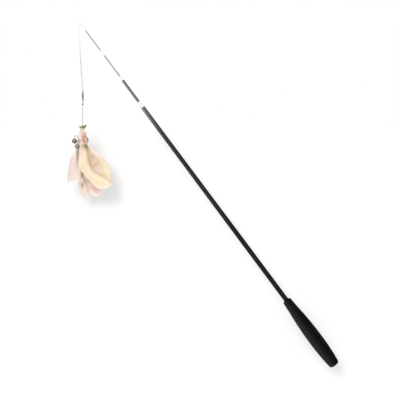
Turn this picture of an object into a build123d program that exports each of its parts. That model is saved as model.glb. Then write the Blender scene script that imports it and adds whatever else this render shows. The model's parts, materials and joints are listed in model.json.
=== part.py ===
"""Telescoping cat teaser wand, held in the hand with its cord and cloth lure hanging from the tip.

Millimetres, +Z up. The origin is the middle of the grip on the wand's axis, and the wand leans to -X.
"""

import os
from math import cos, pi, radians, sin, tan

from build123d import *

os.makedirs("parts", exist_ok=True)

# Fits
seat_gap = 0.02
running_gap = 0.05
pivot_gap = 0.1
overrun = 1.0

# Wand as it is held: lean from upright, in degrees
wand_lean = 36.7

# Grip
grip_length = 123.0
grip_belly_radius = 10.7
grip_end_wall = 8.0
grip_nose_round = 3.4
grip_butt_round = 4.4
grip_butt_dome = 1.4
grip_length_shares = (0, 0.11, 0.26, 0.63, 0.84)
grip_radius_shares = (0.61, 0.69, 0.84, 1.0, 0.905)
grip_butt_radius_share = 0.72
grip_dome_mid_share = 0.5

# Main tube: stepped down inside the grip, parallel next to it, then tapered to its mouth
main_radius = 3.7
main_seat_radius = 3.4
main_mouth_radius = 3.2
main_bore_radius = 2.8
main_exposed = 360.0
main_parallel = 112.0
plug_flange = 1.6
plug_depth = 9.0

# Sliding sections, as far out as the photo shows them
second_radius = 2.1
second_bore_radius = 1.65
second_exposed = 40.0
second_travel_out = 113.0
third_radius = 1.1
third_bore_radius = 0.87
third_exposed = 39.0
third_travel_out = 113.0
tip_radius = 0.58
tip_exposed = 37.5
tip_travel_out = 113.0
stop_gap = 0.5

# Collars in the tubes' mouths, and split bushes on the sections' bases
collar_lip = 1.2
collar_round = 0.2
main_neck_radius = 2.65
main_neck_length = 10.5
main_spigot = 8.0
second_neck_radius = 1.65
second_neck_length = 7.5
second_spigot = 7.0
third_neck_radius = 0.95
third_neck_length = 9.0
third_spigot = 6.0
second_bush_length = 16.0
third_bush_length = 14.0
tip_bush_length = 12.0
bush_slit = 0.5

# Tip cap and its ring
cap_radius = 1.0
cap_depth = 10.7
cap_wall = 1.4
cap_round = 0.4
tip_ring_radius = 2.0
tip_wire_radius = 0.4

# Cord, its tied loops and its knots
cord_radius = 0.6
loop_radius = 1.4
loop_link_gap = 0.1
knot_radius = 1.1
knot_sink = 0.4
crimp_radius = 1.05
crimp_length = 2.2
crimp_below = 2.3
bend_share = 0.45
upper_steps = ((0, 0, 0), (0.6, 0, -26.5), (1.9, 0, -52.5), (3.7, 0, -77.5), (5.4, 0, -98))
lower_steps = ((0, 0, 0), (-0.6, 0, -10.5), (-0.8, 0, -22.5), (-0.4, 0, -34.3))

# Barrel swivel
eye_radius = 1.2
eye_wire_radius = 0.35
stem_radius = 0.4
head_radius = 0.8
head_thickness = 0.5
swivel_stand_off = 0.3
barrel_radius = 1.25
barrel_waist_radius = 1.1
barrel_length = 7.0
barrel_wall = 0.6
barrel_bore_radius = 0.9

# Lure: knot, gathered collar and wrapped bud on one upright axis
neck_knot_radius = 3.0
neck_knot_foot = 2.2
knot_ear_length = 6.2
knot_ear_root = 1.3
knot_ear_tip = 0.7
knot_ear_angles = (56, -70)
neck_collar_top = 2.9
neck_collar_bottom = 5.4
neck_collar_height = 6.6
neck_flare_mid_share = 0.42
bud_top_radius = 5.0
bud_radius = 7.6
bud_foot_radius = 7.2
bud_height = 16.4
bud_widest_share = 0.45

# Petals: stations along the petal, and how far the cup and the folds have opened there
petal_thickness = 0.7
petal_root = 3.0
petal_station_shares = (0, 0.2, 0.42, 0.62, 0.8, 1.0)
petal_open_shares = (0.06, 0.35, 0.8, 0.95, 1.0, 1.0)
petal_across_shares = (-1, -2 / 3, -1 / 3, 0, 1 / 3, 2 / 3, 1)
petal_fold_senses = (0, 1, 0, -1, 0, 1, 0)
petals = {
    "petal_front": dict(
        fan=20, length=75, half_width=20, neck_lie=5.7, hem_lie=15, cup=5, fold=1.2,
        left_shares=(0.18, 0.48, 0.84, 0.74, 0.7, 0.7), right_shares=(0.18, 0.12, 0, 0.12, 0.7, 1.2),
        hem_shares=((-1.1, 0.6), (-0.45, 0.7), (-0.1, 0.89), (0.45, 0.99), (1.35, 0.93)),
    ),
    "petal_left": dict(
        fan=-11, length=64, half_width=12.5, neck_lie=1.9, hem_lie=8, cup=3, fold=1.2,
        left_shares=(0.34, 0.65, 1.05, 1.1, 1.03, 0.94), right_shares=(0.3, 0.42, 0.6, 0.68, 0.72, 0.74),
        hem_shares=((-1.3, 1.0), (-0.6, 0.94), (0, 0.865), (0.4, 0.88), (1.2, 0.93)),
    ),
    "petal_right": dict(
        fan=29.5, length=76, half_width=15, neck_lie=0.5, hem_lie=2, cup=-3.5, fold=1.3,
        left_shares=(0.27, 0.4, 0.65, 0.75, 0.75, 0.65), right_shares=(0.3, 0.62, 1.08, 1.2, 1.08, 0.5),
        hem_shares=((-1.1, 0.9), (-0.45, 0.99), (-0.1, 0.955), (0.4, 0.99), (1.25, 0.82)),
    ),
    "petal_back": dict(
        fan=10, length=82, half_width=16, neck_lie=-0.9, hem_lie=-9.5, cup=-2.5, fold=1.4,
        left_shares=(0.24, 0.38, 0.7, 0.86, 0.9, 0.72), right_shares=(0.24, 0.38, 0.72, 0.95, 1.08, 1.1),
        hem_shares=((-1.2, 0.84), (-0.56, 0.995), (-0.22, 0.9), (0.38, 0.985), (1.15, 0.87)),
    ),
    "petal_rear_left": dict(
        fan=-8, length=52, half_width=12, neck_lie=-2.3, hem_lie=-13, cup=-1.6, fold=1.0,
        left_shares=(0.3, 0.5, 0.88, 0.98, 0.95, 0.85), right_shares=(0.3, 0.5, 0.78, 0.86, 0.86, 0.8),
        hem_shares=((-1.3, 0.9), (-0.5, 0.99), (0, 0.94), (0.5, 1.0), (1.3, 0.92)),
    ),
    "petal_rear_right": dict(
        fan=23, length=62, half_width=13, neck_lie=-4.1, hem_lie=-20, cup=-3, fold=1.4,
        left_shares=(0.26, 0.45, 0.74, 0.85, 0.87, 0.8), right_shares=(0.26, 0.45, 0.83, 0.95, 0.96, 0.8),
        hem_shares=((-1.2, 0.88), (-0.5, 0.98), (0, 0.95), (0.5, 1.0), (1.2, 0.88)),
    ),
}

# Tail lace
tail_radius = 0.8
tail_steps = (
    (-2.6, -3.9, 0), (-2.6, -3.9, -5.2), (-2.2, -6.2, -14.8), (-1.2, -8.7, -30), (0, -9.0, -47),
    (0.2, -8.8, -65),
)

# Bells
bell_wall = 0.5
bell_rim = 0.25
bell_rim_height = 0.6
bell_slot = 0.9
bell_slot_top_share = 0.2
bell_head_gap = 0.2
large_bell_radius = 4.0
large_bell_out = 12.8
large_bell_turn = 26
large_bell_below = 23.4
small_bell_radius = 3.5
small_bell_out = 12.6
small_bell_turn = 54
small_bell_below = 31.4
pea_radius = 1.2
pin_radius = 0.4
pin_stem_radius = 0.45
pin_ring_radius = 1.0
pin_depth = 2.5


def save(piece, label):
    """Name a finished piece and write it."""
    piece.part.label = label
    export_step(piece.part, f"parts/{label}.step")


# Wand frame: sketches are drawn as (distance along the wand, radius)
wand_way = Vector(-sin(radians(wand_lean)), 0, cos(radians(wand_lean)))
wand_plane = Plane(origin=(0, 0, 0), x_dir=wand_way, z_dir=(0, -1, 0))
wand_axis = Axis((0, 0, 0), wand_way)
upright = Vector(0, 0, 1)
level = Vector(1, 0, 0)
viewer = Vector(0, -1, 0)

nose = grip_length / 2
butt = -nose
tube_rear = butt + grip_end_wall + plug_flange + seat_gap
main_mouth = nose + main_exposed
main_front = main_mouth + main_neck_length
second_mouth = main_front + second_exposed
second_front = second_mouth + second_neck_length
third_mouth = second_front + third_exposed
third_front = third_mouth + third_neck_length
cap_rear = third_front + tip_exposed
tip_end = cap_rear + cap_depth
cap_front = tip_end + cap_wall
second_base = main_mouth - main_spigot - stop_gap - second_travel_out - second_bush_length
third_base = second_mouth - second_spigot - stop_gap - third_travel_out - third_bush_length
tip_base = third_mouth - third_spigot - stop_gap - tip_travel_out - tip_bush_length

# Grip: a moulded body of revolution, closed at the butt, with a blind bore for the tube
with BuildPart() as grip:
    with BuildSketch(wand_plane):
        with BuildLine():
            flank = [
                (nose - grip_length * along, grip_belly_radius * out)
                for along, out in zip(grip_length_shares, grip_radius_shares)
            ]
            butt_edge = (butt + grip_butt_dome, grip_belly_radius * grip_butt_radius_share)
            side = Spline(*flank, butt_edge)
            dome_mid = (butt + grip_butt_dome * grip_dome_mid_share ** 2, butt_edge[1] * grip_dome_mid_share)
            ThreePointArc(butt_edge, dome_mid, (butt, 0))
            Polyline((butt, 0), (nose, 0), side @ 0)
        make_face()
    revolve(axis=wand_axis)
    rims = grip.edges().filter_by(lambda edge: edge.is_closed).sort_by(wand_axis)
    fillet(rims[0], grip_butt_round)
    fillet(rims[-1], grip_nose_round)
    with BuildSketch(wand_plane):
        with BuildLine():
            bore_end = tube_rear - plug_flange - seat_gap
            bore_edge = main_seat_radius + seat_gap
            Polyline(
                (bore_end, 0), (bore_end, bore_edge), (nose + overrun, bore_edge), (nose + overrun, 0),
                close=True,
            )
        make_face()
    revolve(axis=wand_axis, mode=Mode.SUBTRACT)
save(grip, "grip")


def turned(*outline):
    """Revolve a closed outline of (distance along the wand, radius) points about the wand's axis."""
    with BuildPart() as piece:
        with BuildSketch(wand_plane):
            with BuildLine():
                Polyline(*outline, close=True)
            make_face()
        revolve(axis=wand_axis)
    return piece


def sleeve(rear, front, bore, radius):
    """A plain tube on the wand's axis."""
    return turned((rear, bore), (rear, radius), (front, radius), (front, bore))


def collar(mouth, seat_radius, lip_radius, neck_radius, passage, spigot, length):
    """A turned collar: a spigot in the tube's mouth, a lip on its end and a narrower neck in front."""
    neck_start = mouth + collar_lip
    front = mouth + length
    return turned(
        (mouth - spigot, passage),
        (mouth - spigot, seat_radius - seat_gap),
        (mouth, seat_radius - seat_gap),
        (mouth, lip_radius),
        (neck_start - collar_round, lip_radius),
        (neck_start, lip_radius - collar_round),
        (neck_start, neck_radius),
        (front - collar_round, neck_radius),
        (front, neck_radius - collar_round),
        (front, passage),
    )


def split_bush(base, length, inner, outer):
    """A friction sleeve on a section's base, slit along one side so that it can spring."""
    with BuildPart() as bush:
        with BuildSketch(wand_plane):
            with BuildLine():
                Polyline(
                    (base, inner), (base, outer), (base + length, outer), (base + length, inner), close=True
                )
            make_face()
        revolve(axis=wand_axis)
        with BuildSketch(wand_plane):
            with BuildLine():
                top = outer + overrun
                rear = base - overrun
                front = base + length + overrun
                Polyline((rear, 0), (rear, top), (front, top), (front, 0), close=True)
            make_face()
        extrude(amount=bush_slit / 2, both=True, mode=Mode.SUBTRACT)
    return bush


# Fixed handle: tapered tube, plug in its rear and collar in its mouth
main_tube = turned(
    (tube_rear, main_bore_radius),
    (tube_rear, main_seat_radius),
    (nose, main_seat_radius),
    (nose, main_radius),
    (nose + main_parallel, main_radius),
    (main_mouth, main_mouth_radius),
    (main_mouth, main_bore_radius),
)
save(main_tube, "main_tube")

butt_plug = turned(
    (tube_rear - plug_flange, 0),
    (tube_rear - plug_flange, main_seat_radius),
    (tube_rear, main_seat_radius),
    (tube_rear, main_bore_radius - seat_gap),
    (tube_rear + plug_depth, main_bore_radius - seat_gap),
    (tube_rear + plug_depth, 0),
)
save(butt_plug, "butt_plug")

main_collar = collar(
    main_mouth, main_bore_radius, main_mouth_radius, main_neck_radius, second_radius + running_gap,
    main_spigot, main_neck_length,
)
save(main_collar, "main_collar")

# Second section
second_tube = sleeve(second_base, second_mouth, second_bore_radius, second_radius)
save(second_tube, "second_tube")
second_bush = split_bush(
    second_base, second_bush_length, second_radius + seat_gap, main_bore_radius - running_gap
)
save(second_bush, "second_bush")
second_collar = collar(
    second_mouth, second_bore_radius, second_radius, second_neck_radius, third_radius + running_gap,
    second_spigot, second_neck_length,
)
save(second_collar, "second_collar")

# Third section
third_tube = sleeve(third_base, third_mouth, third_bore_radius, third_radius)
save(third_tube, "third_tube")
third_bush = split_bush(
    third_base, third_bush_length, third_radius + seat_gap, second_bore_radius - running_gap
)
save(third_bush, "third_bush")
third_collar = collar(
    third_mouth, third_bore_radius, third_radius, third_neck_radius, tip_radius + running_gap,
    third_spigot, third_neck_length,
)
save(third_collar, "third_collar")

# Tip section: solid rod, its bush, and a cap with a ring that stands across the photo's plane
tip_rod = sleeve(tip_base, tip_end, 0, tip_radius)
save(tip_rod, "tip_rod")
tip_bush = split_bush(tip_base, tip_bush_length, tip_radius + seat_gap, third_bore_radius - running_gap)
save(tip_bush, "tip_bush")

ring_centre = wand_way * (cap_front + tip_ring_radius)
tip_pin = wand_way * (cap_front + 2 * tip_ring_radius)
with BuildPart() as tip_eye:
    with BuildSketch(wand_plane):
        with BuildLine():
            socket = tip_radius + seat_gap
            Polyline(
                (cap_rear, socket), (cap_rear, cap_radius), (cap_front - cap_round, cap_radius),
                (cap_front, cap_radius - cap_round), (cap_front, 0), (tip_end, 0), (tip_end, socket),
                close=True,
            )
        make_face()
    revolve(axis=wand_axis)
    with Locations(Plane(origin=ring_centre, x_dir=wand_way, z_dir=wand_way.cross(viewer))):
        Torus(tip_ring_radius, tip_wire_radius)
save(tip_eye, "tip_eye")


# Tied cord ends
def knot_reach(wire_radius):
    """Distance from the wire that a loop hangs on to the middle of the loop's knot."""
    slack = loop_radius - cord_radius - wire_radius - loop_link_gap
    return slack + loop_radius + knot_sink


def tied_loop(pin, wire_radius, towards, normal):
    """A loop of cord round a wire at pin, closed by a round knot on its far side."""
    slack = loop_radius - cord_radius - wire_radius - loop_link_gap
    with BuildPart() as loop:
        with Locations(Plane(origin=pin + towards * slack, x_dir=towards, z_dir=normal)):
            Torus(loop_radius, cord_radius)
        with Locations(pin + towards * knot_reach(wire_radius)):
            Sphere(knot_radius)
    return loop


def cord_tube(label, points, radius):
    """A round cord along straight runs that are joined by the largest arcs that fit them."""
    runs = [after - before for before, after in zip(points, points[1:])]
    bends = []
    for one, two in zip(runs, runs[1:]):
        half_turn = radians(one.get_angle(two)) / 2
        shorter = min(one.length, two.length)
        bends.append(bend_share * shorter / tan(half_turn))
    with BuildPart() as cord:
        with BuildLine() as path:
            FilletPolyline(*points, radius=bends)
        with BuildSketch(Plane(origin=points[0], z_dir=runs[0])):
            Circle(radius)
        sweep(path=path.line)
    length = sum(edge.length for edge in path.edges())
    volume_share = cord.part.volume / (pi * radius ** 2 * length)
    print(label, "bends", [round(bend) for bend in bends], "length", round(length, 1))
    print(label, "volume as a share of section times length", round(volume_share, 4))
    save(cord, label)


# Upper cord: from the knot at the tip to the knot at the swivel
tip_loop = tied_loop(tip_pin, tip_wire_radius, -upright, viewer)
save(tip_loop, "tip_loop")
tip_knot = tip_pin - upright * knot_reach(tip_wire_radius)
upper_start = tip_knot - upright * (knot_radius + pivot_gap)
upper_route = [upper_start + Vector(*step) for step in upper_steps]
cord_tube("upper_cord", upper_route, cord_radius)
swivel_knot = upper_route[-1] - upright * (knot_radius + seat_gap)


# Swivel: two headed eyes that turn in one barrel
def headed_eye(pin, outwards, normal, stem_length):
    """A wire ring with a headed stem: outwards points from the stem's head to the ring's far wire at pin."""
    centre = pin - outwards * eye_radius
    stem_root = centre - outwards * eye_radius
    head_face = stem_root - outwards * stem_length
    with BuildPart() as eye:
        with Locations(Plane(origin=centre, x_dir=outwards, z_dir=normal)):
            Torus(eye_radius, eye_wire_radius)
        with Locations(Plane(origin=stem_root, z_dir=-outwards)):
            Cylinder(stem_radius, stem_length, align=(Align.CENTER, Align.CENTER, Align.MIN))
        with Locations(Plane(origin=head_face, z_dir=-outwards)):
            Cylinder(head_radius, head_thickness, align=(Align.CENTER, Align.CENTER, Align.MIN))
    return eye


top_pin = swivel_knot - upright * knot_reach(eye_wire_radius)
eye_depth = 2 * eye_radius + eye_wire_radius + swivel_stand_off
swivel_stem = eye_wire_radius + swivel_stand_off + barrel_wall + running_gap
barrel_top = top_pin - upright * eye_depth
barrel_bottom = barrel_top - upright * barrel_length
bottom_pin = barrel_bottom - upright * eye_depth

swivel_tie_upper = tied_loop(top_pin, eye_wire_radius, upright, level)
save(swivel_tie_upper, "swivel_tie_upper")
swivel_top_eye = headed_eye(top_pin, upright, viewer, swivel_stem)
save(swivel_top_eye, "swivel_top_eye")

with BuildPart() as swivel_barrel:
    with BuildSketch(Plane(origin=barrel_bottom, x_dir=level, z_dir=viewer)):
        with BuildLine():
            waist = (barrel_waist_radius, barrel_length / 2)
            hole = stem_radius + running_gap
            Line((hole, 0), (barrel_radius, 0))
            ThreePointArc((barrel_radius, 0), waist, (barrel_radius, barrel_length))
            Polyline((barrel_radius, barrel_length), (hole, barrel_length), (hole, 0))
        make_face()
        with BuildLine():
            ceiling = barrel_length - barrel_wall
            Polyline(
                (0, barrel_wall), (barrel_bore_radius, barrel_wall), (barrel_bore_radius, ceiling),
                (0, ceiling), close=True,
            )
        make_face(mode=Mode.SUBTRACT)
    revolve(axis=Axis(barrel_bottom, upright))
save(swivel_barrel, "swivel_barrel")

swivel_bottom_eye = headed_eye(bottom_pin, -upright, viewer, swivel_stem)
save(swivel_bottom_eye, "swivel_bottom_eye")
swivel_tie_lower = tied_loop(bottom_pin, eye_wire_radius, -upright, level)
save(swivel_tie_lower, "swivel_tie_lower")

# Lower cord and the crimp on its first run
lower_knot = bottom_pin - upright * knot_reach(eye_wire_radius)
lower_start = lower_knot - upright * (knot_radius + seat_gap)
lower_route = [lower_start + Vector(*step) for step in lower_steps]
cord_tube("lower_cord", lower_route, cord_radius)

first_run = (lower_route[1] - lower_route[0]).normalized()
with BuildPart() as cord_crimp:
    with BuildSketch(Plane(origin=lower_start + first_run * crimp_below, z_dir=first_run)):
        Circle(crimp_radius)
        Circle(cord_radius + seat_gap, mode=Mode.SUBTRACT)
    extrude(amount=crimp_length / 2, both=True)
    rims = cord_crimp.edges().filter_by(GeomType.CIRCLE)
    fillet(rims.group_by(SortBy.RADIUS)[-1], (crimp_radius - cord_radius) / 2)
save(cord_crimp, "cord_crimp")

# Lure axis, from the ball of the neck knot down
lure_top = lower_route[-1] - upright * (neck_knot_radius + pivot_gap)
collar_top = lure_top - upright * neck_knot_foot
bud_top = collar_top - upright * neck_collar_height
bud_foot = bud_top - upright * bud_height

with BuildPart() as neck_knot:
    with Locations(lure_top):
        Sphere(neck_knot_radius)
    for angle in knot_ear_angles:
        ear_way = Vector(sin(radians(angle)), 0, cos(radians(angle)))
        with Locations(Plane(origin=lure_top, z_dir=ear_way)):
            Cone(knot_ear_root, knot_ear_tip, knot_ear_length, align=(Align.CENTER, Align.CENTER, Align.MIN))
    split(bisect_by=Plane(origin=collar_top, z_dir=upright), keep=Keep.TOP)
save(neck_knot, "neck_knot")

with BuildPart() as neck_collar:
    with BuildSketch(Plane(origin=bud_top, x_dir=level, z_dir=viewer)):
        with BuildLine():
            flare_mid = (
                neck_collar_top + (neck_collar_bottom - neck_collar_top) * neck_flare_mid_share ** 2,
                neck_collar_height * (1 - neck_flare_mid_share),
            )
            ThreePointArc((neck_collar_top, neck_collar_height), flare_mid, (neck_collar_bottom, 0))
            Polyline(
                (neck_collar_bottom, 0), (0, 0), (0, neck_collar_height),
                (neck_collar_top, neck_collar_height),
            )
        make_face()
    revolve(axis=Axis(bud_top, upright))
save(neck_collar, "neck_collar")

# Bells: each hangs on an eye pin that is set in the bud
bell_places = {
    "large": (large_bell_radius, large_bell_out, large_bell_turn, large_bell_below),
    "small": (small_bell_radius, small_bell_out, small_bell_turn, small_bell_below),
}
bell_hangers = {}
for size, (bell_radius, out, turn, below) in bell_places.items():
    outwards = Vector(-cos(radians(turn)), -sin(radians(turn)), 0)
    centre = lower_route[-1] + outwards * out - upright * below
    hook = centre + upright * (bell_radius + running_gap + 2 * eye_radius - pin_radius - loop_link_gap)
    reach = (centre - bud_foot).dot(outwards) - bud_radius + pin_depth
    bell_hangers[size] = (outwards, centre, hook, reach)

with BuildPart() as bud:
    with BuildSketch(Plane(origin=bud_foot, x_dir=level, z_dir=viewer)):
        with BuildLine():
            widest = (bud_radius, bud_height * bud_widest_share)
            Polyline((bud_top_radius, bud_height), (0, bud_height), (0, 0), (bud_foot_radius, 0))
            ThreePointArc((bud_foot_radius, 0), widest, (bud_top_radius, bud_height))
        make_face()
    revolve(axis=Axis(bud_foot, upright))
    for outwards, centre, hook, reach in bell_hangers.values():
        hole_mouth = hook + upright * 2 * pin_ring_radius
        with Locations(Plane(origin=hole_mouth, z_dir=-outwards)):
            Cylinder(
                pin_stem_radius + seat_gap, reach + seat_gap, align=(Align.CENTER, Align.CENTER, Align.MIN),
                mode=Mode.SUBTRACT,
            )
save(bud, "bud")

for size, (outwards, centre, hook, reach) in bell_hangers.items():
    bell_radius = bell_places[size][0]
    sideways = outwards.cross(upright)

    with BuildPart() as bell_pin:
        stem_top = hook + upright * 2 * pin_ring_radius
        with Locations(Plane(origin=hook + upright * pin_ring_radius, x_dir=upright, z_dir=outwards)):
            Torus(pin_ring_radius, pin_radius)
        with Locations(Plane(origin=stem_top, z_dir=-outwards)):
            Cylinder(pin_stem_radius, reach, align=(Align.CENTER, Align.CENTER, Align.MIN))
    save(bell_pin, f"bell_pin_{size}")

    eye_top = hook + upright * (eye_wire_radius + pin_radius + loop_link_gap)
    bell_stem = eye_wire_radius + running_gap + bell_wall + bell_head_gap
    bell_eye = headed_eye(eye_top, upright, sideways, bell_stem)
    save(bell_eye, f"bell_{size}_eye")

    with BuildPart() as bell_shell:
        with Locations(centre):
            Sphere(bell_radius)
            Cylinder(bell_radius + bell_rim, bell_rim_height)
            Sphere(bell_radius - bell_wall, mode=Mode.SUBTRACT)
        with Locations(centre):
            Cylinder(
                stem_radius + running_gap, bell_radius + overrun,
                align=(Align.CENTER, Align.CENTER, Align.MIN), mode=Mode.SUBTRACT,
            )
        slot_top = centre - upright * bell_radius * bell_slot_top_share
        for way in (outwards, sideways):
            with Locations(Plane(origin=slot_top, x_dir=way, z_dir=-upright)):
                Box(
                    2 * (bell_radius + overrun), bell_slot, bell_radius,
                    align=(Align.CENTER, Align.CENTER, Align.MIN), mode=Mode.SUBTRACT,
                )
            with Locations(Plane(origin=slot_top, z_dir=way)):
                Cylinder(bell_slot, 2 * (bell_radius + overrun), mode=Mode.SUBTRACT)
    save(bell_shell, f"bell_{size}_shell")

    with BuildPart() as bell_pea:
        with Locations(centre - upright * (bell_radius - bell_wall - pea_radius - pivot_gap)):
            Sphere(pea_radius)
    save(bell_pea, f"bell_{size}_pea")


# Petals: cupped, folded sheets that fan out from the bud's foot, cut to lobes at the hem
def petal(fan, length, half_width, neck_lie, hem_lie, cup, fold, left_shares, right_shares, hem_shares):
    """One cloth petal. Its lies, cup and folds are measured towards the viewer."""
    along = Vector(sin(radians(fan)), 0, -cos(radians(fan)))
    across = Vector(cos(radians(fan)), 0, sin(radians(fan)))
    root = bud_foot - along * petal_root
    reach = petal_root + length
    with BuildPart() as piece:
        for station, opened, left, right in zip(
            petal_station_shares, petal_open_shares, left_shares, right_shares
        ):
            lie = neck_lie + (hem_lie - neck_lie) * station
            middle = half_width * (right - left) / 2
            spread = half_width * (right + left) / 2
            front = [
                (middle + spread * u, opened * (cup * (1 - u ** 2) + fold * sense))
                for u, sense in zip(petal_across_shares, petal_fold_senses)
            ]
            rear = [(x, y - petal_thickness) for x, y in front]
            section = Plane(origin=root + along * reach * station + viewer * lie, x_dir=across, z_dir=along)
            with BuildSketch(section):
                with BuildLine():
                    for face in (front, rear):
                        for one, mid, two in zip(face[::2], face[1::2], face[2::2]):
                            ThreePointArc(one, mid, two)
                    Line(front[0], rear[0])
                    Line(front[-1], rear[-1])
                make_face()
        loft()
        with BuildSketch(Plane(origin=bud_foot, x_dir=across, z_dir=viewer)):
            with BuildLine():
                hem = [(half_width * x, -length * y) for x, y in hem_shares]
                for one, mid, two in zip(hem[::2], hem[1::2], hem[2::2]):
                    ThreePointArc(one, mid, two)
                Polyline(hem[-1], (hem[-1][0], length), (hem[0][0], length), hem[0])
            make_face()
        extrude(amount=length, both=True, mode=Mode.INTERSECT)
        split(bisect_by=Plane(origin=bud_foot, z_dir=upright), keep=Keep.BOTTOM)
    return piece


for label, sizes in petals.items():
    save(petal(**sizes), label)

# Tail: a dark lace from the bud's foot, hanging between the front and the left petal
tail_route = [bud_foot + Vector(*step) for step in tail_steps]
cord_tube("tail", tail_route, tail_radius)
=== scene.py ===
import json
import math

import bmesh
import bpy
import numpy as np
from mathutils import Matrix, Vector


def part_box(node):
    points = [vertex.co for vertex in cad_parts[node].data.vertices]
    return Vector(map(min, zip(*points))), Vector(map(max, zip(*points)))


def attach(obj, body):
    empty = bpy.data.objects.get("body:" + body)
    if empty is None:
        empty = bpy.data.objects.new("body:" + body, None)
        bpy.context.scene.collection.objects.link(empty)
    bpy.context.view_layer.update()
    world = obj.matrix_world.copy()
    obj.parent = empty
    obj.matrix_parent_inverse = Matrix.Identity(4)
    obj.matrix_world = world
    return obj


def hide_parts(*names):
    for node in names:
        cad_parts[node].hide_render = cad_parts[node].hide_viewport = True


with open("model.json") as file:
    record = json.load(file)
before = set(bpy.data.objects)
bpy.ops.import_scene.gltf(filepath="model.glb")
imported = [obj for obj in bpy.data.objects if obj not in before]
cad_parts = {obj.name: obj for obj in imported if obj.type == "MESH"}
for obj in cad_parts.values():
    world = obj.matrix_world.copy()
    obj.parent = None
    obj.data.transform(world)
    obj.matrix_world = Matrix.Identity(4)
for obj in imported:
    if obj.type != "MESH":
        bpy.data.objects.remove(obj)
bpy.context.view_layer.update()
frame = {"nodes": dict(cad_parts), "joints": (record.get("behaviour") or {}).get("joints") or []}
scene = bpy.context.scene
joints = {j["name"]: Vector(j["pos_m"]) for j in frame["joints"] if "pos_m" in j}  # the hinges' points
mm = 0.001
fullTurn = 2 * math.pi
up = Vector((0, 0, 1))
toViewer = Vector((0, -1, 0))
toRight = Vector((1, 0, 0))


def linear(code):  # sRGB hex to linear, alpha 1
    parts = [int(code[i:i + 2], 16) / 255 for i in (1, 3, 5)]
    return tuple(c / 12.92 if c <= 0.04045 else ((c + 0.055) / 1.055) ** 2.4 for c in parts) + (1.0,)


def addNode(tree, kind, inputs=None, **settings):  # a node as an input is linked by its first output in use
    node = tree.nodes.new(kind)
    for name, value in settings.items():
        setattr(node, name, value)
    for name, value in (inputs or {}).items():
        if isinstance(value, bpy.types.Node):
            value = next(output for output in value.outputs if output.enabled)
        if isinstance(value, bpy.types.NodeSocket):
            tree.links.new(value, node.inputs[name])
        else:
            node.inputs[name].default_value = value
    return node


def newMaterial(name):  # with its tree and the piece's own coordinates
    material = bpy.data.materials.new(name)
    material.use_nodes = True
    tree = material.node_tree
    tree.nodes.clear()
    return material, tree, addNode(tree, "ShaderNodeTexCoord").outputs


def newObject(name, data, material=None):
    piece = bpy.data.objects.new(name, data)
    scene.collection.objects.link(piece)
    if material:
        data.materials.append(material)
    return piece


def asMesh(source, name):  # what the modifiers make, as a plain mesh in place of the source
    bpy.context.view_layer.update()
    seen = source.evaluated_get(bpy.context.evaluated_depsgraph_get())
    mesh = bpy.data.meshes.new_from_object(seen)
    mesh.name = name
    bpy.data.objects.remove(source)
    mesh.shade_smooth()
    return newObject(name, mesh)


def thicken(sheet, cloth, name):  # a sheet gets the cloth's thickness, half to each side
    wall = sheet.modifiers.new("cloth", "SOLIDIFY")
    wall.thickness = cloth * mm
    wall.offset = 0
    return asMesh(sheet, name)


def ease(low, high, x):  # 0 at low, 1 at high, smooth at both
    t = np.clip((x - low) / (high - low), 0, 1)
    return t * t * (3 - 2 * t)


def through(places, values, x):  # smooth line through a few values
    xs, ys = np.array(places, float), np.array(values, float)
    slope = np.gradient(ys, xs)
    k = np.clip(np.searchsorted(xs, x, side="right") - 1, 0, len(xs) - 2)
    h = xs[k + 1] - xs[k]
    t = np.clip((x - xs[k]) / h, 0, 1)
    return ((1 + 2 * t) * (1 - t) ** 2 * ys[k] + t * (1 - t) ** 2 * h * slope[k]
            + t * t * (3 - 2 * t) * ys[k + 1] + t * t * (t - 1) * h * slope[k + 1])


# camera: level, square to the wand's plane, long lens
cameraPlace = dict(centreX=-0.1661, centreZ=0.199, distance=3.0, lens=180.0, sensor=36.0)
camera = newObject("camera", bpy.data.cameras.new("camera"))
camera.data.lens = cameraPlace["lens"]
camera.data.sensor_width = cameraPlace["sensor"]
camera.location = (cameraPlace["centreX"], -cameraPlace["distance"], cameraPlace["centreZ"])
camera.rotation_euler = (math.pi / 2, 0, 0)
scene.camera = camera
scene.view_settings.view_transform = "Standard"
print("camera set")


# twisted cotton cord: dull, pale khaki with darker flecks and fine fibre; paler near the tip, by metres up
cordLook = dict(light="#cbc9b6", dark="#9a9884", paleTop="#efeee6", paleFrom=0.425, paleTo=0.442,
                paling=0.8, fibre=0.25, patch=9, roughness=0.95, specular=0.2)
twistedCotton, tree, place = newMaterial("twistedCotton")
fibre = addNode(tree, "ShaderNodeTexNoise", {
    "Vector": place["Object"], "Scale": 1 / (cordLook["fibre"] * mm), "Detail": 3.0})
patchy = addNode(tree, "ShaderNodeTexNoise", {
    "Vector": place["Object"], "Scale": 1 / (cordLook["patch"] * mm)})
both = addNode(tree, "ShaderNodeMath", {0: fibre, 1: patchy}, operation="MULTIPLY")
tone = addNode(tree, "ShaderNodeMapRange", {"Value": both, "From Min": 0.1, "From Max": 0.4})
colour = addNode(tree, "ShaderNodeMix", {
    0: tone, 6: linear(cordLook["dark"]), 7: linear(cordLook["light"])}, data_type="RGBA")
height = addNode(tree, "ShaderNodeSeparateXYZ", {0: place["Object"]})
# the cord turns paler over its top, near the wand's tip, set by height alone
nearTip = addNode(tree, "ShaderNodeMapRange", {
    "Value": height.outputs["Z"], "From Min": cordLook["paleFrom"], "From Max": cordLook["paleTo"],
    "To Max": cordLook["paling"]})
paledTop = addNode(tree, "ShaderNodeMix", {
    0: nearTip, 6: colour, 7: linear(cordLook["paleTop"])}, data_type="RGBA")
bump = addNode(tree, "ShaderNodeBump", {"Height": fibre, "Strength": 0.5, "Distance": 0.05 * mm})
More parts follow.
